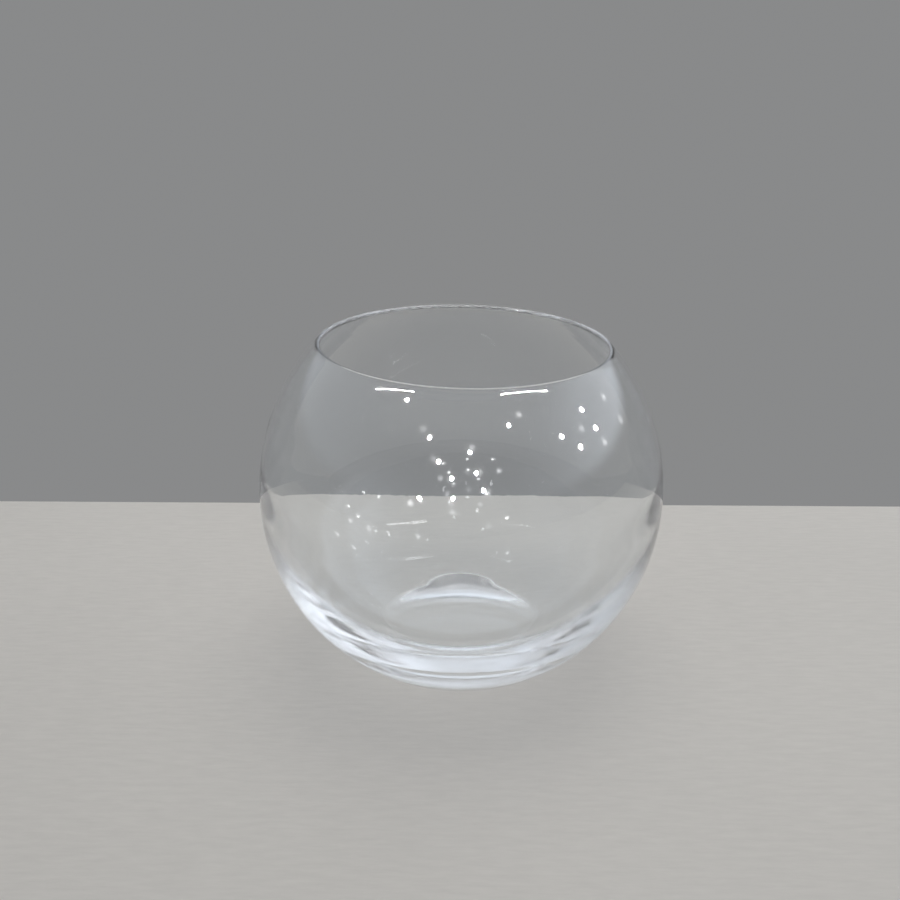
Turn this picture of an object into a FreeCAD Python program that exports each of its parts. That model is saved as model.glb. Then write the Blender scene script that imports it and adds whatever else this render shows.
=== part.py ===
import FreeCAD, Part
import math
import os

# A rose bowl vase: one piece of clear blown glass, a globe with a mouth narrower than its belly.
# Millimetres, +Z up. The origin is the middle of the foot, on the surface that the bowl stands on.

# The outside
bowl_width = 152.0
mouth_width = 105.5
foot_width = 70.0
belly_height = 68.7
neck_rise = 57.7

# The mouth was cracked off a little out of level: its plane falls towards +X
mouth_slope_deg = 1.2

# The glass: an even thin wall under the mouth, which thickens down the shoulder to the belly and
# swells below it to a heel and a floor
rim_wall = 1.6
belly_wall = 2.2
floor_thickness = 5.0

# How far up the shoulder the wall has thinned to the rim's, as a share of the shoulder's arc
thinning_share = 0.25

# How far the inside stays upright below the belly, as a share of its depth there, and how far it
# stays level from the axis, as a share of its width. Larger shares give a squarer, thinner heel.
upright_share = 0.49
level_share = 0.66

# The underside: a flat ring touches the table, round a shallow hollow
foot_ring_width = 2.6
hollow_rise = 1.4
foot_edge_radius = 3.0

# The mouth's edge was melted round, on each side by nearly half of the wall there
rim_round_share = 0.47

# How far blanks and cutters reach past what they are cut to
overrun = 3.0

belly_radius = bowl_width / 2
mouth_radius = mouth_width / 2
foot_radius = foot_width / 2
mouth_height = belly_height + neck_rise
mouth_fall = mouth_radius * math.tan(math.radians(mouth_slope_deg))
blank_rise = neck_rise + mouth_fall + overrun


def at(radius, height):
    """A point of the half section, which is drawn in the plane of X and Z."""
    return FreeCAD.Vector(radius, 0, height)


def side_radius(inset, rise):
    """Radius of the arc that is upright at the belly and has come in by inset over rise."""
    return (inset ** 2 + rise ** 2) / (2 * inset)


class SideArc:
    """A circle about a point at the belly's height, which the section follows up or down."""

    def __init__(self, start_radius, arc_radius):
        self.centre = start_radius - arc_radius
        self.radius = arc_radius

    def turn_to(self, rise):
        """How far it has turned from the belly at this rise, down if negative."""
        return math.asin(rise / self.radius)

    def point(self, turn):
        return at(self.centre + self.radius * math.cos(turn), belly_height + self.radius * math.sin(turn))

    def edge(self, first, last):
        """Its edge from the turn first to the turn last."""
        return Part.Arc(self.point(first), self.point((first + last) / 2), self.point(last)).toShape()


outer_lower = SideArc(belly_radius, side_radius(belly_radius - foot_radius, belly_height))
outer_shoulder = SideArc(belly_radius, side_radius(belly_radius - mouth_radius, neck_rise))
inner_shoulder = SideArc(belly_radius - rim_wall, outer_shoulder.radius - rim_wall)
blank_turn = outer_shoulder.turn_to(blank_rise)


def outside():
    """The outer line of the section, from the foot's edge up past the mouth, and its two ends."""
    foot_turn = outer_lower.turn_to(-belly_height)
    edges = [outer_lower.edge(foot_turn, 0), outer_shoulder.edge(0, blank_turn)]
    return edges, outer_lower.point(foot_turn), outer_shoulder.point(blank_turn)


def cubic(*poles):
    """The edge of a cubic curve."""
    curve = Part.BezierCurve()
    curve.setPoles(list(poles))
    return curve.toShape()


def inside():
    """The inner line: even under the mouth, thickening to the belly, then round the heel to the floor."""
    belly_inside = at(belly_radius - belly_wall, belly_height)

    # With its middle poles this far along the tangents, a cubic turns as evenly as an arc
    thin_turn = thinning_share * outer_shoulder.turn_to(neck_rise)
    pole_length = 4 / 3 * math.tan(thin_turn / 4) * inner_shoulder.radius
    thin_point = inner_shoulder.point(thin_turn)
    down_the_arc = at(math.sin(thin_turn), -math.cos(thin_turn))
    thinning = cubic(
        thin_point,
        thin_point + down_the_arc * pole_length,
        belly_inside + at(0, pole_length),
        belly_inside,
    )
    floor_end = at(0, floor_thickness)
    heel = cubic(
        belly_inside,
        belly_inside - at(0, upright_share * (belly_height - floor_thickness)),
        at(level_share * belly_inside.x, floor_thickness),
        floor_end,
    )
    edges = [inner_shoulder.edge(thin_turn, blank_turn), thinning, heel]
    return edges, inner_shoulder.point(blank_turn), floor_end


def underside(foot_end):
    """The line under the bowl: the flat ring, then the shallow hollow up to the axis."""
    ring_end = at(foot_radius - foot_ring_width, 0)
    ball_radius = (ring_end.x ** 2 + hollow_rise ** 2) / (2 * hollow_rise)
    half_turn = math.asin(ring_end.x / ball_radius) / 2
    middle = at(ball_radius * math.sin(half_turn), hollow_rise - ball_radius * (1 - math.cos(half_turn)))
    top = at(0, hollow_rise)
    ring = Part.LineSegment(foot_end, ring_end).toShape()
    return [ring, Part.Arc(ring_end, middle, top).toShape()], top


def blank():
    """The bowl as a body of revolution that still reaches past its mouth."""
    outer_edges, foot_end, outer_top = outside()
    inner_edges, inner_top, floor_end = inside()
    under_edges, hollow_top = underside(foot_end)
    closing = [
        Part.LineSegment(outer_top, inner_top).toShape(),
        Part.LineSegment(floor_end, hollow_top).toShape(),
    ]
    section = Part.Face(Part.Wire(Part.__sortEdges__(outer_edges + inner_edges + under_edges + closing)))
    return section.revolve(at(0, 0), FreeCAD.Vector(0, 0, 1), 360)


def open_mouth(body):
    """Cuts the body off at the mouth's plane, which falls towards +X."""
    side = bowl_width + 2 * overrun
    cutter = Part.makeBox(side, side, neck_rise, FreeCAD.Vector(-side / 2, -side / 2, 0))
    cutter.rotate(at(0, 0), FreeCAD.Vector(0, 1, 0), mouth_slope_deg)
    cutter.translate(at(0, mouth_height))
    return body.cut(cutter)


def flat_face(body, wanted):
    """The flat face that lies highest, for max, or lowest, for min."""
    flats = [face for face in body.Faces if isinstance(face.Surface, Part.Plane)]
    return wanted(flats, key=lambda face: face.CenterOfMass.z)


def melt_edges(body):
    """Rounds the mouth's edge and both edges of the ring that the bowl stands on."""
    body = body.makeFillet(rim_round_share * rim_wall, flat_face(body, max).Edges)
    return body.makeFillet(foot_edge_radius, flat_face(body, min).Edges)


def build():
    os.makedirs("parts", exist_ok=True)
    bowl = melt_edges(open_mouth(blank()))
    bowl = Part.Solid(bowl.Solids[0])
    bowl.exportStep("parts/glass_bowl.step")
    box = bowl.BoundBox
    print("glass_bowl", "valid" if bowl.isValid() else "not valid", "volume", round(bowl.Volume / 1000, 2), "cm3")
    print("box", [round(v, 2) for v in (box.XMin, box.YMin, box.ZMin, box.XMax, box.YMax, box.ZMax)])


build()
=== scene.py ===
"""A rose bowl vase of clear blown glass on a pale table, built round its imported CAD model.

Metres, +Z up, in the CAD model's frame: the origin is the middle of the bowl's foot. The file is
laid out as an add-on, with the sizes and finishes as properties and one operator for each thing
that it makes, and it is run as a script.
"""

import math

import bpy
from bpy.props import FloatProperty, FloatVectorProperty, IntProperty, PointerProperty
from mathutils import Matrix, Vector


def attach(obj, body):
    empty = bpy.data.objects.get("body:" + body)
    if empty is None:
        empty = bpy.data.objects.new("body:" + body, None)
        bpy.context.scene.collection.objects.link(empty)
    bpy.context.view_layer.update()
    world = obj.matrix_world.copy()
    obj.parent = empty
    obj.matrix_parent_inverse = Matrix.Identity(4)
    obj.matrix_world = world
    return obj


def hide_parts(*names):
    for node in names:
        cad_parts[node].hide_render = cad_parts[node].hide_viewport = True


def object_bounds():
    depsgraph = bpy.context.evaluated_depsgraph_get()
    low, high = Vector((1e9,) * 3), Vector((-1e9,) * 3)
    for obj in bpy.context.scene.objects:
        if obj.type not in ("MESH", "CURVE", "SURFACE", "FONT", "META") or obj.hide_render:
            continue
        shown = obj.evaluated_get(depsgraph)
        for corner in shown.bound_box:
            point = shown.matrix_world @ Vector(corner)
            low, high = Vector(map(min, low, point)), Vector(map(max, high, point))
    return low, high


bl_info = {
    "name": "Rose bowl vase",
    "version": (1, 0, 0),
    "blender": (4, 5, 0),
    "location": "3D View > Sidebar > Rose bowl",
    "description": "Makes a blown glass rose bowl, the table that it stands on and its lamps",
    "category": "Add Mesh",
}

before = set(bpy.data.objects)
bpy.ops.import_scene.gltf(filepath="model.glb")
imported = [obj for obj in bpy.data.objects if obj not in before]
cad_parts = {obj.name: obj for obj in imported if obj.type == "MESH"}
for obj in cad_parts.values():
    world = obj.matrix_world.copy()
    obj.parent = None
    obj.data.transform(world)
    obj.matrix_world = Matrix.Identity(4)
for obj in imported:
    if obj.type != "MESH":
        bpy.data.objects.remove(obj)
cad_low, cad_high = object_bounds()

BOWL_NODE = "glass_bowl"
BOWL_BODY = "root"
# What the two things that the lamps pick out are called
BOWL_NAME = "blown_bowl"
TABLE_NAME = "table_top"

# Points along each stretch of the section, from the axis under the floor to the axis on top of it
HOLLOW_POINTS = 14
RING_INNER_EDGE_POINTS = 2
RING_OUTER_EDGE_POINTS = 10
LOWER_SIDE_POINTS = 44
SHOULDER_POINTS = 32
RIM_OUTER_POINTS = 5
RIM_INNER_POINTS = 7
EVEN_WALL_POINTS = 22
THINNING_POINTS = 18
HEEL_POINTS = 56
# Points of the bowl nearer together than this are one point
MERGE_DISTANCE = 5e-6
# How fast the slow waves change along X, Y and Z
WAVE_STRETCH = (28.0, 28.0, 55.0)

# The heel's streaks: how many lie across a metre, how fast they change along X on the way round, and the
# share of that along Y. From the first height down to the second they grow from the top share to the full
# depth.
STREAKS_PER_METRE = 420.0
STREAK_DRIFT = 14.0
STREAK_SLANT_SHARE = 0.6
STREAK_HEIGHTS = (0.052, 0.018)
STREAK_TOP_SHARE = 0.06
# The smears: how many lie across a metre, between which values of their noise they set in, and how rough
# they are at most
SMEARS_PER_METRE = 38.0
SMEAR_NOISE = (0.56, 0.8)
SMEAR_ROUGHNESS = 0.02
# As the same noise goes from the first value to the second, the coat's weight falls to this share
GLINT_NOISE = (0.3, 0.75)
DULLED_SHARE = 0.8
COAT_REFRACTION = 1.5

# The table top's grain and its broad, faint clouding, between which values of their sum the colour goes
# from its darker share to its lighter one, and how strong the grain's relief is
GRAIN_STRETCH = (1.0, 6.0, 1.0)
GRAINS_PER_METRE = 90.0
CLOUDS_PER_METRE = 5.0
GRAIN_SHARE = 0.6
TABLE_NOISE = (0.3, 0.7)
DARKER_SHARE = 0.94
LIGHTER_SHARE = 1.05
GRAIN_STRENGTH = 0.25
GRAIN_DEPTH = 0.0002
TABLE_ROUGHNESS = 0.75
TABLE_SPECULAR = 0.25

# Between which parts of the view's direction one light passes into the next: the first two go from the
# front to the back, the others upwards
FRONT_TO_SOFT = (-0.9, 0.1)
FRONT_TO_BACKDROP = (-0.5, 0.1)
LOW_TO_WALLS = (0.1, 0.24)
WALLS_TO_OVERHEAD = (0.5, 0.86)
# Light turns many times in the wall where it is seen edge on
BOUNCES = 64
SEE_THROUGH_BOUNCES = 24

# The camera's sensor in millimetres, and the nearest that it sees, in metres
SENSOR_WIDTH = 36.0
CAMERA_NEAR = 0.01

# Where the small lamps hang, seen from the bowl's middle
LAMP_DIRECTIONS = (
    (-0.454, -0.361, 0.814),
    (-0.278, -0.687, 0.671),
    (0.412, -0.564, 0.716),
    (0.863, 0.006, 0.505),
    (0.796, -0.343, 0.498),
    (0.933, 0.018, 0.360),
    (0.901, -0.240, 0.360),
    (0.082, -0.801, 0.593),
    (-0.198, -0.829, 0.523),
    (-0.080, -0.907, 0.413),
    (0.137, -0.883, 0.449),
    (-0.070, -0.964, 0.257),
    (-0.362, -0.903, 0.231),
    (0.200, -0.928, 0.315),
)
# The two ends of each long strip lamp overhead, seen from there too, and how strong and wide each is as
# a share of the stage's strip
STRIP_ENDS = (
    ((-0.660, -0.115, 0.742), (-0.395, -0.324, 0.860)),
    ((0.333, -0.353, 0.874), (0.663, -0.124, 0.738)),
)
STRIP_SHARES = (0.22, 0.75)


# Shader and geometry sums


class Wire:
    """An output of a node that can stand in sums, in a shader tree or a geometry tree."""

    def __init__(self, tree, output):
        self.tree = tree
        self.output = output

    def __add__(self, other):
        return self.tree.maths("ADD", self, other)

    def __radd__(self, other):
        return self.tree.maths("ADD", other, self)

    def __sub__(self, other):
        return self.tree.maths("SUBTRACT", self, other)

    def __rsub__(self, other):
        return self.tree.maths("SUBTRACT", other, self)

    def __mul__(self, other):
        return self.tree.maths("MULTIPLY", self, other)

    def __rmul__(self, other):
        return self.tree.maths("MULTIPLY", other, self)

    def __truediv__(self, other):
        return self.tree.maths("DIVIDE", self, other)

    def __rtruediv__(self, other):
        return self.tree.maths("DIVIDE", other, self)


class Tree:
    """A node tree that is filled by expressions."""

    def __init__(self, nodes_of):
        self.nodes_of = nodes_of

    def node(self, kind, settings=None, inputs=None, out=0):
        """Adds a node, its settings first and then its inputs. Returns its output out, if it has any."""
        made = self.nodes_of.nodes.new(kind)
        for name, value in (settings or {}).items():
            setattr(made, name, value)
        for key, value in (inputs or {}).items():
            socket = made.inputs[key]
            if isinstance(value, Wire):
                self.nodes_of.links.new(value.output, socket)
            else:
                socket.default_value = value
        return Wire(self, made.outputs[out]) if made.outputs else None

    def maths(self, operation, *values):
        return self.node("ShaderNodeMath", {"operation": operation}, dict(enumerate(values)))

    def parts(self, wire, *names):
        """Other outputs of the node that wire comes from."""
        return [Wire(self, wire.output.node.outputs[name]) for name in names]

    def ranged(self, value, span, low, high, how="LINEAR"):
        """From low, where value is at the first of span, to high, where it is at the last."""
        ends = {"Value": value, 1: span[0], 2: span[1], 3: low, 4: high}
        return self.node("ShaderNodeMapRange", {"interpolation_type": how}, ends)

    def blend(self, share, first, second):
        """A colour between two others."""
        return self.node("ShaderNodeMix", {"data_type": "RGBA"}, {"Factor": share, 6: first, 7: second}, 2)

    def noise(self, where, scale, detail, roughness):
        grain = {"Vector": where, "Scale": scale, "Detail": detail, "Roughness": roughness}
        return self.node("ShaderNodeTexNoise", {}, grain)


def new_material(name):
    """A material with an empty tree."""
    material = bpy.data.materials.new(name)
    material.use_nodes = True
    material.node_tree.nodes.clear()
    return material, Tree(material.node_tree)


# Sizes and finishes


class BowlSizes(bpy.types.PropertyGroup):
    """The bowl's sizes. Its width comes from the CAD model."""

    bowl_width: FloatProperty(
        name="Bowl width",
        description="Across the belly, outside",
        default=cad_high.x - cad_low.x,
        unit="LENGTH",
        precision=4,
    )
    mouth_width: FloatProperty(
        name="Mouth width",
        description="Across the mouth, outside, where its plane crosses the axis",
        default=0.1055,
        unit="LENGTH",
        precision=4,
    )
    foot_width: FloatProperty(
        name="Foot width",
        description="Across the foot before its edge is rounded",
        default=0.070,
        unit="LENGTH",
        precision=4,
    )
    belly_height: FloatProperty(
        name="Belly height",
        description="From the table to the widest place",
        default=0.0687,
        unit="LENGTH",
        precision=4,
    )
    neck_rise: FloatProperty(
        name="Neck rise",
        description="From the widest place to the mouth",
        default=0.0577,
        unit="LENGTH",
        precision=4,
    )
    mouth_slope: FloatProperty(
        name="Mouth slope",
        description="How far the mouth's plane falls towards +X",
        default=math.radians(1.2),
        subtype="ANGLE",
    )
    rim_wall: FloatProperty(
        name="Rim wall",
        description="The glass under the mouth",
        default=0.0016,
        unit="LENGTH",
        precision=4,
    )
    belly_wall: FloatProperty(
        name="Belly wall",
        description="The glass at the widest place",
        default=0.0022,
        unit="LENGTH",
        precision=4,
    )
    thinning_share: FloatProperty(
        name="Thinning share",
        description="How far up the shoulder the wall has thinned to the rim's, as a share of its arc",
        default=0.25,
    )
    floor_thickness: FloatProperty(
        name="Floor thickness",
        description="From the table to the inside of the floor, on the axis",
        default=0.005,
        unit="LENGTH",
        precision=4,
    )
    upright_share: FloatProperty(
        name="Upright share",
        description="How far the inside stays upright below the belly, as a share of its depth",
        default=0.49,
    )
    level_share: FloatProperty(
        name="Level share",
        description="How far the inside stays level from the axis, as a share of its width",
        default=0.66,
    )
    foot_ring_width: FloatProperty(
        name="Foot ring width",
        description="The flat ring that touches the table, before its edges are rounded",
        default=0.0026,
        unit="LENGTH",
        precision=4,
    )
    hollow_rise: FloatProperty(
        name="Hollow rise",
        description="How far the underside rises inside the ring",
        default=0.0014,
        unit="LENGTH",
        precision=4,
    )
    foot_edge_radius: FloatProperty(
        name="Foot edge radius",
        description="Rounding of both edges of the foot ring",
        default=0.003,
        unit="LENGTH",
        precision=4,
    )
    rim_round_share: FloatProperty(
        name="Rim round share",
        description="The rim's rounding on each side, as a share of its wall",
        default=0.47,
    )
    turns: IntProperty(
        name="Turns",
        description="Faces round the bowl",
        default=384,
        min=32,
    )
    ripple_depth: FloatProperty(
        name="Ripple depth",
        description="Depth of the slow waves that blowing leaves in the glass",
        default=0.00006,
        unit="LENGTH",
        precision=6,
    )
    seed: IntProperty(
        name="Seed",
        description="Picks the waves",
        default=7,
    )


class GlassFinish(bpy.types.PropertyGroup):
    """The glass itself and its polish."""

    tint: FloatVectorProperty(
        name="Tint",
        description="Colour that light picks up at each surface",
        default=(0.985, 0.995, 1.0),
        size=3,
        subtype="COLOR",
        min=0.0,
        max=1.0,
    )
    thick_tint: FloatVectorProperty(
        name="Thick tint",
        description="The same in the heel, where the glass is thick",
        default=(0.97, 0.99, 1.0),
        size=3,
        subtype="COLOR",
        min=0.0,
        max=1.0,
    )
    refraction: FloatProperty(
        name="Refractive index",
        description="Soda-lime glass bends light by this much",
        default=1.52,
    )
    gloss_roughness: FloatProperty(
        name="Gloss roughness",
        description="How soft the lamps' reflections are",
        default=0.045,
        subtype="FACTOR",
    )
    glint_share: FloatProperty(
        name="Glint share",
        description="Weight of the thin coat that shows the lamps. A heavy one would dim the thick glass",
        default=0.1,
        subtype="FACTOR",
    )
    shadow_tint: FloatVectorProperty(
        name="Shadow tint",
        description="What each surface lets through towards its shadow",
        default=(0.935, 0.938, 0.943),
        size=3,
        subtype="COLOR",
        min=0.0,
        max=1.0,
    )
    streak_depth: FloatProperty(
        name="Streak depth",
        description="Depth of the fine streaks that run round the heel",
        default=0.00003,
        unit="LENGTH",
        precision=6,
    )


class StageLook(bpy.types.PropertyGroup):
    """The table, the light and the camera."""

    camera_place: FloatVectorProperty(
        name="Camera place",
        description="Where the photograph was taken from",
        default=(0.0, -0.3136, 0.2172),
        size=3,
        subtype="TRANSLATION",
        precision=4,
    )
    camera_tilt: FloatProperty(
        name="Camera tilt",
        description="Up from looking straight down",
        default=math.radians(66.89),
        subtype="ANGLE",
    )
    camera_turn: FloatProperty(
        name="Camera turn",
        description="To the left from looking along +Y",
        default=math.radians(0.76),
        subtype="ANGLE",
    )
    camera_lens: FloatProperty(
        name="Camera lens",
        description="Focal length in millimetres",
        default=36.0,
        unit="CAMERA",
    )
    table_colour: FloatVectorProperty(
        name="Table colour",
        description="The pale table top",
        default=(0.80, 0.78, 0.745),
        size=3,
        subtype="COLOR",
        min=0.0,
        max=1.0,
    )
    table_back: FloatProperty(
        name="Table's back edge",
        description="How far behind the bowl's axis the table ends",
        default=0.1213,
        unit="LENGTH",
    )
    table_thickness: FloatProperty(
        name="Table thickness",
        description="Of the table top",
        default=0.024,
        unit="LENGTH",
    )
    table_gap: FloatProperty(
        name="Table gap",
        description="How far the top lies under the foot ring, so that the two never share a plane",
        default=0.00003,
        unit="LENGTH",
        precision=5,
    )
    table_reach: FloatProperty(
        name="Table reach",
        description="How far the table goes to each side and to the front",
        default=1.1,
        unit="LENGTH",
    )
    backdrop_light: FloatVectorProperty(
        name="Backdrop light",
        description="The grey behind the bowl, up to a little over the table",
        default=(0.25, 0.253, 0.256),
        size=3,
        subtype="COLOR",
        min=0.0,
        max=4.0,
    )
    soft_light: FloatVectorProperty(
        name="Soft light",
        description="The wide soft light behind the bowl and at both its sides",
        default=(0.88, 0.935, 1.02),
        size=3,
        subtype="COLOR",
        min=0.0,
        max=4.0,
    )
    front_light: FloatVectorProperty(
        name="Front light",
        description="What little light comes from the camera's side",
        default=(0.17, 0.17, 0.175),
        size=3,
        subtype="COLOR",
        min=0.0,
        max=4.0,
    )
    overhead_light: FloatVectorProperty(
        name="Overhead light",
        description="The dimmer light from straight above",
        default=(0.60, 0.61, 0.63),
        size=3,
        subtype="COLOR",
        min=0.0,
        max=4.0,
    )
    side_balance: FloatProperty(
        name="Side balance",
        description="How much stronger the soft light is on the right than in the middle",
        default=0.45,
    )
    softbox_power: FloatProperty(
        name="Softbox power",
        description="Of the wide lamp over the table, which lights only the table",
        default=20.5,
        unit="POWER",
    )
    softbox_size: FloatProperty(
        name="Softbox size",
        description="Each side of the wide lamp over the table",
        default=1.2,
        unit="LENGTH",
    )
    softbox_place: FloatVectorProperty(
        name="Softbox place",
        description="The middle of the wide lamp over the table",
        default=(0.16, 0.32, 1.7),
        size=3,
        subtype="TRANSLATION",
    )
    lamp_power: FloatProperty(
        name="Lamp power",
        description="Of each small lamp that glints in the glass",
        default=75.0,
        unit="POWER",
    )
    strip_power: FloatProperty(
        name="Strip power",
        description="Of a long strip lamp whose share is 1",
        default=60.0,
        unit="POWER",
    )
    strip_width: FloatProperty(
        name="Strip width",
        description="Of a long strip lamp whose share is 1",
        default=0.05,
        unit="LENGTH",
    )
    lamp_distance: FloatProperty(
        name="Lamp distance",
        description="From the bowl's middle to each small lamp",
        default=2.43,
        unit="LENGTH",
    )
    lamp_radius: FloatProperty(
        name="Lamp radius",
        description="Of each small lamp",
        default=0.04,
        unit="LENGTH",
    )


class RoseBowl(bpy.types.PropertyGroup):
    """Everything that a user would change."""

    sizes: PointerProperty(type=BowlSizes)
    finish: PointerProperty(type=GlassFinish)
    stage: PointerProperty(type=StageLook)


# The bowl's section


def side_radius(inset, rise):
    """Radius of the arc that is upright at the belly and has come in by inset over rise."""
    return (inset ** 2 + rise ** 2) / (2 * inset)


def arc(centre, radius, start, end, count):
    """Points on a circle, from the angle start to the angle end, without the last one."""
    steps = [start + (end - start) * i / count for i in range(count)]
    return [(centre[0] + radius * math.cos(a), centre[1] + radius * math.sin(a)) for a in steps]


def angle_to(centre, point):
    return math.atan2(point[1] - centre[1], point[0] - centre[0])


def cubic(poles, count):
    """Points on a cubic curve, without the last one."""
    points = []
    for i in range(count):
        t = i / count
        shares = ((1 - t) ** 3, 3 * t * (1 - t) ** 2, 3 * t ** 2 * (1 - t), t ** 3)
        points.append(tuple(sum(s * pole[k] for s, pole in zip(shares, poles)) for k in (0, 1)))
    return points


def bowl_section(sizes):
    """Half the bowl's section as (radius, height), from under the floor, round the rim, to its top.

    Also returns the centre and radius of the shoulder's outer arc.
    """
    belly = sizes.bowl_width / 2
    mouth = sizes.mouth_width / 2
    foot = sizes.foot_width / 2
    level = sizes.belly_height
    top = level + sizes.neck_rise
    inner = belly - sizes.belly_wall

    lower_radius = side_radius(belly - foot, level)
    lower_centre = (belly - lower_radius, level)
    upper_radius = side_radius(belly - mouth, sizes.neck_rise)
    upper_centre = (belly - upper_radius, level)
    even_radius = upper_radius - sizes.rim_wall

    # The underside: a ball's hollow, then both rounded edges of the flat ring
    ring = foot - sizes.foot_ring_width
    ball_radius = (ring ** 2 + sizes.hollow_rise ** 2) / (2 * sizes.hollow_rise)
    ball_centre = (0.0, sizes.hollow_rise - ball_radius)
    edge = sizes.foot_edge_radius
    inner_edge = (math.sqrt((ball_radius + edge) ** 2 - (edge - ball_centre[1]) ** 2), edge)
    outer_edge = (lower_centre[0] + math.sqrt((lower_radius - edge) ** 2 - (level - edge) ** 2), edge)
    hollow_end = angle_to(ball_centre, inner_edge)
    foot_end = angle_to(lower_centre, outer_edge)
    up = math.pi / 2
    down = -up

    # The rim: both edges of the mouth's flat cut, rounded
    melt = sizes.rim_round_share * sizes.rim_wall
    rim_level = top - melt
    rise = rim_level - level
    outer_rim = (upper_centre[0] + math.sqrt((upper_radius - melt) ** 2 - rise ** 2), rim_level)
    inner_rim = (upper_centre[0] + math.sqrt((even_radius + melt) ** 2 - rise ** 2), rim_level)
    outer_turn = angle_to(upper_centre, outer_rim)
    inner_turn = angle_to(upper_centre, inner_rim)

    # The inside: even under the mouth, thickening to the belly, then round the heel to the floor. With
    # its middle poles this far along the tangents, the first cubic turns as evenly as an arc.
    thin_turn = sizes.thinning_share * math.asin(sizes.neck_rise / upper_radius)
    pole_length = 4 / 3 * math.tan(thin_turn / 4) * even_radius
    cosine, sine = math.cos(thin_turn), math.sin(thin_turn)
    thin_point = (upper_centre[0] + even_radius * cosine, level + even_radius * sine)
    thinning_poles = [
        thin_point,
        (thin_point[0] + pole_length * sine, thin_point[1] - pole_length * cosine),
        (inner, level + pole_length),
        (inner, level),
    ]

    upright = sizes.upright_share * (level - sizes.floor_thickness)
    heel_poles = [
        (inner, level),
        (inner, level - upright),
        (sizes.level_share * inner, sizes.floor_thickness),
        (0.0, sizes.floor_thickness),
    ]
    points = (
        arc(ball_centre, ball_radius, up, hollow_end, HOLLOW_POINTS)
        + arc(inner_edge, edge, hollow_end - math.pi, down, RING_INNER_EDGE_POINTS)
        + arc(outer_edge, edge, down, foot_end, RING_OUTER_EDGE_POINTS)
        + arc(lower_centre, lower_radius, foot_end, 0.0, LOWER_SIDE_POINTS)
        + arc(upper_centre, upper_radius, 0.0, outer_turn, SHOULDER_POINTS)
        + arc(outer_rim, melt, outer_turn, up, RIM_OUTER_POINTS)
        + arc(inner_rim, melt, up, math.pi + inner_turn, RIM_INNER_POINTS)
        + arc(upper_centre, even_radius, inner_turn, thin_turn, EVEN_WALL_POINTS)
        + cubic(thinning_poles, THINNING_POINTS)
        + cubic(heel_poles, HEEL_POINTS)
        + [heel_poles[-1]]
    )
    return points, upper_centre, upper_radius


def section_mesh(points):
    """The section as loose points."""
    mesh = bpy.data.meshes.new("bowl_section")
    mesh.from_pydata([(radius, 0.0, height) for radius, height in points], [], [])
    return mesh


# The tree that turns the section into the bowl

BOWL_INPUTS = (
    ("Turns", "NodeSocketInt"),
    ("Belly Height", "NodeSocketFloat"),
    ("Neck Rise", "NodeSocketFloat"),
    ("Shoulder Centre", "NodeSocketFloat"),
    ("Shoulder Radius", "NodeSocketFloat"),
    ("Mouth Fall", "NodeSocketFloat"),
    ("Ripple Depth", "NodeSocketFloat"),
    ("Seed", "NodeSocketFloat"),
    ("Glass", "NodeSocketMaterial"),
)


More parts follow.
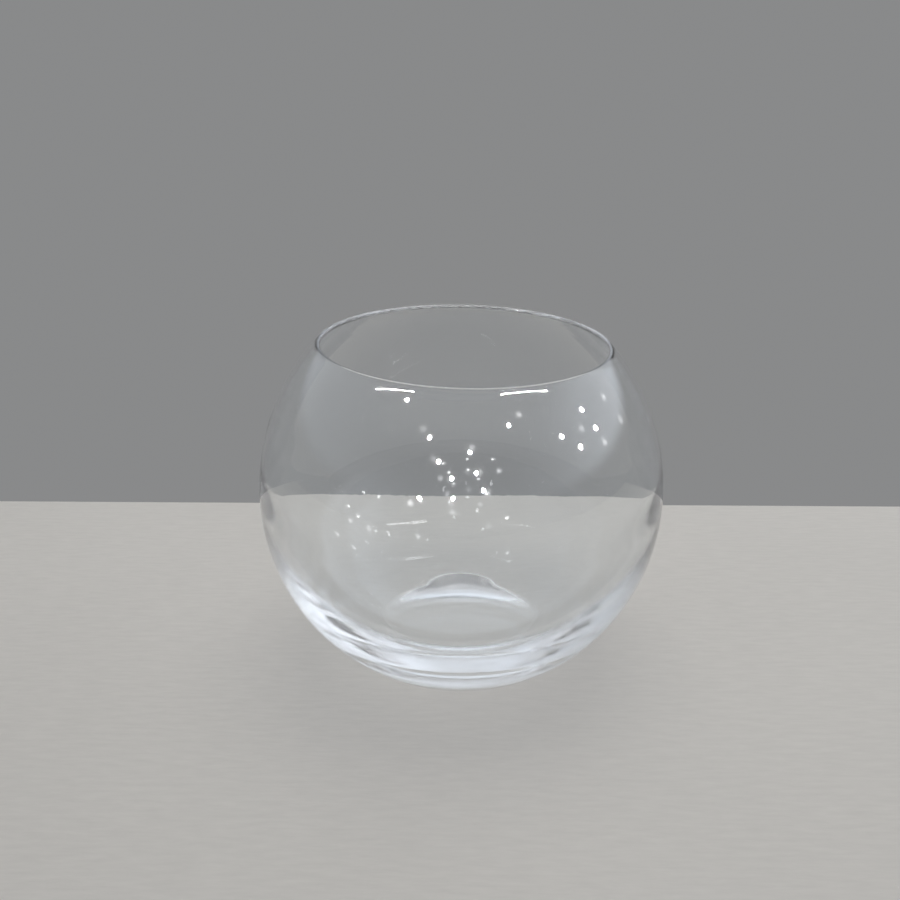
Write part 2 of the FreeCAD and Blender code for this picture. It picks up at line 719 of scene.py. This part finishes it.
def bowl_tree():
    """Geometry nodes: revolves the section, slopes the mouth, adds slow waves, and closes it."""
    group = bpy.data.node_groups.new("bowl_from_section", "GeometryNodeTree")
    group.interface.new_socket("Geometry", in_out="INPUT", socket_type="NodeSocketGeometry")
    for name, kind in BOWL_INPUTS:
        group.interface.new_socket(name, in_out="INPUT", socket_type=kind)
    group.interface.new_socket("Geometry", in_out="OUTPUT", socket_type="NodeSocketGeometry")
    tree = Tree(group)
    section = tree.node("NodeGroupInput")
    names = [name for name, _ in BOWL_INPUTS]
    given = dict(zip(names, tree.parts(section, *names)))

    rows = tree.node("GeometryNodeAttributeDomainSize", {"component": "MESH"}, {"Geometry": section})
    columns = given["Turns"] + 1
    grid = tree.node("GeometryNodeMeshGrid", {}, {"Vertices X": rows, "Vertices Y": columns})
    index = tree.node("GeometryNodeInputIndex")
    row = tree.maths("FLOOR", (index + 0.5) / columns)
    turn = (index - row * columns) / given["Turns"] * math.tau

    place = tree.node(
        "GeometryNodeSampleIndex",
        {"data_type": "FLOAT_VECTOR", "domain": "POINT"},
        {"Geometry": section, "Value": tree.node("GeometryNodeInputPosition"), "Index": row},
    )
    split = tree.node("ShaderNodeSeparateXYZ", {}, {0: place})
    radius, height = tree.parts(split, "X", "Z")

    # The mouth slopes because the shoulder's arc goes on for longer on the one side
    out = radius - given["Shoulder Centre"]
    rise = height - given["Belly Height"]
    angle = tree.maths("ARCTAN2", rise, out)
    whole = tree.maths("ARCSINE", given["Neck Rise"] / given["Shoulder Radius"])
    fall = given["Mouth Fall"] * tree.maths("COSINE", turn)
    sloped = tree.maths("ARCSINE", (given["Neck Rise"] - fall) / given["Shoulder Radius"])
    share = tree.node("ShaderNodeClamp", {}, {"Value": angle / whole})
    swing = (sloped - whole) * share
    cosine = tree.maths("COSINE", swing)
    sine = tree.maths("SINE", swing)
    above = tree.maths("GREATER_THAN", rise, 0.0)
    leaning_radius = given["Shoulder Centre"] + out * cosine - rise * sine
    leaning_height = given["Belly Height"] + out * sine + rise * cosine
    final_radius = radius + above * (leaning_radius - radius)
    final_height = height + above * (leaning_height - height)
    spot = tree.node(
        "ShaderNodeCombineXYZ",
        {},
        {
            "X": final_radius * tree.maths("COSINE", turn),
            "Y": final_radius * tree.maths("SINE", turn),
            "Z": final_height,
        },
    )
    turned = tree.node("GeometryNodeSetPosition", {}, {"Geometry": grid, "Position": spot})
    merged = tree.node("GeometryNodeMergeByDistance", {}, {"Geometry": turned, "Distance": MERGE_DISTANCE})
    closed = tree.node("GeometryNodeFlipFaces", {}, {"Mesh": merged})

    # Slow waves, shorter up the wall than round it, and only ever into the glass, so that the bowl stays
    # within its CAD solid's box
    waves_at = tree.node(
        "ShaderNodeVectorMath",
        {"operation": "MULTIPLY"},
        {0: tree.node("GeometryNodeInputPosition"), 1: WAVE_STRETCH},
    )
    wave = tree.node(
        "ShaderNodeTexNoise",
        {"noise_dimensions": "4D"},
        {"Vector": waves_at, "W": given["Seed"], "Scale": 1.0, "Detail": 1.0, "Roughness": 0.4},
    )
    lift = tree.node(
        "ShaderNodeVectorMath",
        {"operation": "SCALE"},
        {0: tree.node("GeometryNodeInputNormal"), "Scale": (wave - 1.0) * given["Ripple Depth"]},
    )
    waved = tree.node("GeometryNodeSetPosition", {}, {"Geometry": closed, "Offset": lift})

    smooth = tree.node("GeometryNodeSetShadeSmooth", {}, {"Geometry": waved, "Shade Smooth": True})
    real = tree.node("GeometryNodeRealizeInstances", {}, {"Geometry": smooth})
    dressed = tree.node("GeometryNodeSetMaterial", {}, {"Geometry": real, "Material": given["Glass"]})
    tree.node("NodeGroupOutput", {}, {"Geometry": dressed})
    return group


def run_tree(name, mesh, group, values):
    """Runs a geometry tree on a mesh and returns an object that holds its result as a plain mesh."""
    source = bpy.data.objects.new(name + "_source", mesh)
    bpy.context.scene.collection.objects.link(source)
    modifier = source.modifiers.new(group.name, "NODES")
    modifier.node_group = group
    for item in group.interface.items_tree:
        if item.in_out == "INPUT" and item.name in values:
            modifier[item.identifier] = values[item.name]
    evaluated = source.evaluated_get(bpy.context.evaluated_depsgraph_get())
    made = bpy.data.objects.new(name, bpy.data.meshes.new_from_object(evaluated))
    made.data.name = name
    bpy.context.scene.collection.objects.link(made)
    source.modifiers.clear()
    bpy.data.objects.remove(source)
    return made


# Materials


def glass_material(finish):
    """Clear glass with a faint tone, soft glints from its lamps, and fine streaks round its heel."""
    material, tree = new_material("clear_blown_glass")
    here = tree.node("ShaderNodeTexCoord", {}, {}, "Object")
    split = tree.node("ShaderNodeSeparateXYZ", {}, {0: here})
    across, deep, height = tree.parts(split, "X", "Y", "Z")
    radius = tree.maths("SQRT", across * across + deep * deep)

    # Streaks run round the bowl: they change fast from ring to ring and slowly on the way round
    rings_at = tree.node(
        "ShaderNodeCombineXYZ",
        {},
        {
            "X": radius * STREAKS_PER_METRE,
            "Y": height * STREAKS_PER_METRE,
            "Z": (across + STREAK_SLANT_SHARE * deep) * STREAK_DRIFT,
        },
    )
    rings = tree.noise(rings_at, scale=1.0, detail=3.0, roughness=0.55)
    low = tree.ranged(height, STREAK_HEIGHTS, STREAK_TOP_SHARE, 1.0)
    bump = tree.node(
        "ShaderNodeBump", {}, {"Strength": 1.0, "Distance": finish.streak_depth, "Height": rings * low}
    )

    # Faint smears from washing, which only soften the gloss a little
    smear = tree.noise(here, SMEARS_PER_METRE, detail=4.0, roughness=0.6)
    smeared = tree.ranged(smear, SMEAR_NOISE, 0.0, SMEAR_ROUGHNESS)
    gloss = tree.ranged(smear, GLINT_NOISE, finish.glint_share, DULLED_SHARE * finish.glint_share)
    tone = tree.blend(low, (*finish.tint, 1.0), (*finish.thick_tint, 1.0))
    glass = tree.node(
        "ShaderNodeBsdfPrincipled",
        {},
        {
            "Base Color": tone,
            "Roughness": smeared,
            "IOR": finish.refraction,
            "Transmission Weight": 1.0,
            "Coat Weight": gloss,
            "Coat Roughness": finish.gloss_roughness,
            "Coat IOR": COAT_REFRACTION,
            "Normal": bump,
        },
    )
    # The softbox's light reaches the table through the glass, a little dimmed at each surface
    through = tree.node("ShaderNodeBsdfTransparent", {}, {"Color": (*finish.shadow_tint, 1.0)})
    shadow_ray = tree.node("ShaderNodeLightPath", {}, {}, "Is Shadow Ray")
    surface = tree.node("ShaderNodeMixShader", {}, {0: shadow_ray, 1: glass, 2: through})
    tree.node("ShaderNodeOutputMaterial", {}, {"Surface": surface})
    return material


def table_material(stage):
    """A plain pale matt top with a barely visible grain."""
    material, tree = new_material("pale_table_top")
    here = tree.node("ShaderNodeTexCoord", {}, {}, "Object")
    grain_at = tree.node("ShaderNodeMapping", {}, {"Vector": here, "Scale": GRAIN_STRETCH})
    grain = tree.noise(grain_at, GRAINS_PER_METRE, detail=5.0, roughness=0.6)
    cloud = tree.noise(here, CLOUDS_PER_METRE, detail=2.0, roughness=0.5)
    shade = tree.ranged(grain * GRAIN_SHARE + cloud * (1.0 - GRAIN_SHARE), TABLE_NOISE, 0.0, 1.0)
    low = tuple(DARKER_SHARE * c for c in stage.table_colour)
    high = tuple(min(1.0, LIGHTER_SHARE * c) for c in stage.table_colour)
    tone = tree.blend(shade, (*low, 1.0), (*high, 1.0))
    bump = tree.node(
        "ShaderNodeBump", {}, {"Strength": GRAIN_STRENGTH, "Distance": GRAIN_DEPTH, "Height": grain}
    )
    top = tree.node(
        "ShaderNodeBsdfPrincipled",
        {},
        {
            "Base Color": tone,
            "Roughness": TABLE_ROUGHNESS,
            "Specular IOR Level": TABLE_SPECULAR,
            "Normal": bump,
        },
    )
    tree.node("ShaderNodeOutputMaterial", {}, {"Surface": top})
    return material


# Operators


def scene_settings(context):
    return context.scene.rose_bowl


class ROSEBOWL_OT_camera(bpy.types.Operator):
    """Adds the camera at the photograph's angle"""

    bl_idname = "rose_bowl.add_camera"
    bl_label = "Add the camera"

    def execute(self, context):
        stage = scene_settings(context).stage
        data = bpy.data.cameras.new("photo_camera")
        data.sensor_width = SENSOR_WIDTH
        data.lens = stage.camera_lens
        data.clip_start = CAMERA_NEAR
        camera = bpy.data.objects.new("photo_camera", data)
        camera.location = stage.camera_place
        camera.rotation_euler = (stage.camera_tilt, 0.0, stage.camera_turn)
        context.scene.collection.objects.link(camera)
        context.scene.camera = camera
        return {"FINISHED"}


class ROSEBOWL_OT_bowl(bpy.types.Operator):
    """Adds the blown glass bowl in place of its CAD solid"""

    bl_idname = "rose_bowl.add_bowl"
    bl_label = "Add the glass bowl"

    def execute(self, context):
        settings = scene_settings(context)
        sizes = settings.sizes
        points, shoulder_centre, shoulder_radius = bowl_section(sizes)
        mouth = sizes.mouth_width / 2
        values = {
            "Turns": sizes.turns,
            "Belly Height": sizes.belly_height,
            "Neck Rise": sizes.neck_rise,
            "Shoulder Centre": shoulder_centre[0],
            "Shoulder Radius": shoulder_radius,
            "Mouth Fall": mouth * math.tan(sizes.mouth_slope),
            "Ripple Depth": sizes.ripple_depth,
            "Seed": float(sizes.seed),
            "Glass": glass_material(settings.finish),
        }
        bowl = run_tree(BOWL_NAME, section_mesh(points), bowl_tree(), values)
        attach(bowl, BOWL_BODY)
        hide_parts(BOWL_NODE)
        return {"FINISHED"}


class ROSEBOWL_OT_stage(bpy.types.Operator):
    """Adds the pale table, the studio light and the small lamps that glint in the glass"""

    bl_idname = "rose_bowl.add_stage"
    bl_label = "Add the table and the light"

    def execute(self, context):
        stage = scene_settings(context).stage
        self.add_table(context, stage)
        self.add_sky(context, stage)
        self.add_lamps(context, stage)
        cycles = context.scene.cycles
        cycles.max_bounces = BOUNCES
        cycles.transmission_bounces = BOUNCES
        cycles.glossy_bounces = BOUNCES
        cycles.transparent_max_bounces = SEE_THROUGH_BOUNCES
        cycles.caustics_refractive = False
        cycles.caustics_reflective = False
        cycles.use_denoising = True
        context.scene.view_settings.view_transform = "Standard"
        return {"FINISHED"}

    def add_table(self, context, stage):
        reach = stage.table_reach
        x = (-reach, reach)
        y = (-reach, stage.table_back)
        z = (-stage.table_thickness, -stage.table_gap)
        corners = [(a, b, c) for a in x for b in y for c in z]
        faces = [(0, 1, 3, 2), (4, 6, 7, 5), (0, 4, 5, 1), (2, 3, 7, 6), (0, 2, 6, 4), (1, 5, 7, 3)]
        mesh = bpy.data.meshes.new(TABLE_NAME)
        mesh.from_pydata(corners, [], faces)
        mesh.materials.append(table_material(stage))
        table = bpy.data.objects.new(TABLE_NAME, mesh)
        context.scene.collection.objects.link(table)

    def add_sky(self, context, stage):
        world = bpy.data.worlds.new("soft_light")
        world.use_nodes = True
        # The table has its own softbox, because the world's light would reach it twice through the glass
        world.cycles_visibility.diffuse = False
        world.node_tree.nodes.clear()
        tree = Tree(world.node_tree)
        direction = tree.node("ShaderNodeTexCoord", {}, {}, "Generated")
        split = tree.node("ShaderNodeSeparateXYZ", {}, {0: direction})
        right, back, rise = tree.parts(split, "X", "Y", "Z")

        def mixed(value, span, first, second):
            return tree.blend(tree.ranged(value, span, 0.0, 1.0, "SMOOTHSTEP"), first, second)

        front = (*stage.front_light, 1.0)
        soft = tree.node(
            "ShaderNodeVectorMath",
            {"operation": "SCALE"},
            {0: stage.soft_light, "Scale": 1.0 + right * stage.side_balance},
        )
        around = mixed(back, FRONT_TO_SOFT, front, soft)
        lower = mixed(back, FRONT_TO_BACKDROP, front, (*stage.backdrop_light, 1.0))
        walls = mixed(rise, LOW_TO_WALLS, lower, around)
        colour = mixed(rise, WALLS_TO_OVERHEAD, walls, (*stage.overhead_light, 1.0))
        sky = tree.node("ShaderNodeBackground", {}, {"Color": colour, "Strength": 1.0})
        tree.node("ShaderNodeOutputWorld", {}, {"Surface": sky})
        context.scene.world = world

    def add_lamps(self, context, stage):
        middle = Vector((0.0, 0.0, (cad_low.z + cad_high.z) / 2))

        def lights_only(name):
            lit = bpy.data.collections.new("lit_" + name)
            lit.objects.link(bpy.data.objects[name])
            return lit

        def add_lamp(name, kind, power, place, lit):
            data = bpy.data.lights.new(name, kind)
            data.energy = power
            lamp = bpy.data.objects.new(name, data)
            lamp.location = place
            context.scene.collection.objects.link(lamp)
            lamp.light_linking.receiver_collection = lit
            return lamp

        table_only = lights_only(TABLE_NAME)
        bowl_only = lights_only(BOWL_NAME)
        softbox = add_lamp("softbox", "AREA", stage.softbox_power, stage.softbox_place, table_only)
        softbox.data.size = stage.softbox_size
        softbox.data.cycles.use_multiple_importance_sampling = False
        softbox.visible_camera = False
        for number, direction in enumerate(LAMP_DIRECTIONS):
            place = middle + Vector(direction).normalized() * stage.lamp_distance
            lamp = add_lamp(f"lamp_{number}", "POINT", stage.lamp_power, place, bowl_only)
            lamp.data.shadow_soft_size = stage.lamp_radius
        for number, (ends, share) in enumerate(zip(STRIP_ENDS, STRIP_SHARES)):
            first, last = (middle + Vector(end).normalized() * stage.lamp_distance for end in ends)
            power = share * stage.strip_power
            strip = add_lamp(f"strip_{number}", "AREA", power, (first + last) / 2, bowl_only)
            strip.data.shape = "RECTANGLE"
            strip.data.size = (last - first).length
            strip.data.size_y = share * stage.strip_width
            away = (strip.location - middle).normalized()
            along = (last - first).normalized()
            strip.rotation_euler = Matrix((along, away.cross(along), away)).transposed().to_euler()


class ROSEBOWL_PT_panel(bpy.types.Panel):
    """Lists the bowl's sizes, its finish and its stage"""

    bl_idname = "ROSEBOWL_PT_panel"
    bl_label = "Rose bowl"
    bl_space_type = "VIEW_3D"
    bl_region_type = "UI"
    bl_category = "Rose bowl"

    def draw(self, context):
        settings = scene_settings(context)
        for group in (settings.sizes, settings.finish, settings.stage):
            box = self.layout.box()
            for name in group.bl_rna.properties.keys():
                if name not in ("rna_type", "name"):
                    box.prop(group, name)
        for operator in OPERATORS:
            self.layout.operator(operator.bl_idname)


OPERATORS = (ROSEBOWL_OT_camera, ROSEBOWL_OT_bowl, ROSEBOWL_OT_stage)
CLASSES = (BowlSizes, GlassFinish, StageLook, RoseBowl, *OPERATORS, ROSEBOWL_PT_panel)


def register():
    for cls in CLASSES:
        bpy.utils.register_class(cls)
    bpy.types.Scene.rose_bowl = PointerProperty(type=RoseBowl)


def unregister():
    del bpy.types.Scene.rose_bowl
    for cls in reversed(CLASSES):
        bpy.utils.unregister_class(cls)


def main():
    register()
    for operator in OPERATORS:
        package, name = operator.bl_idname.split(".")
        getattr(getattr(bpy.ops, package), name)()


if __name__ == "__main__":
    main()
